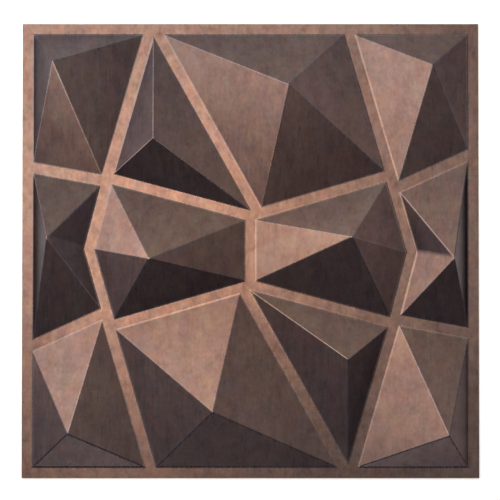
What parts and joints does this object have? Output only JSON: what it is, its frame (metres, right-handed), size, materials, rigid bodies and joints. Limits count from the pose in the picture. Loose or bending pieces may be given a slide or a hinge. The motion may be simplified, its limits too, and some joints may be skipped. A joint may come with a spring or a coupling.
{
  "type": "textured wall panel",
  "caption": "Square formed-sheet wall panel with raised irregular pyramid facets between flat ribs, a flat border and a hollow back, in a bronze metallic finish.",
  "frame": {"origin": "centre of the back of the panel, on the surface that it lies on or is glued to", "axes": "+Z out of the relief face, +Y to the edge that is at the top of the picture, +X to its right edge"},
  "size_m": [0.5, 0.5, 0.0312],
  "materials": {
    "bronze_face": "satin bronze metallic print with fine brushed streaks on rigid plastic sheet"
  },
  "bodies": {
    "root": {"wall_panel": "bronze_face"}
  },
  "joints": []
}
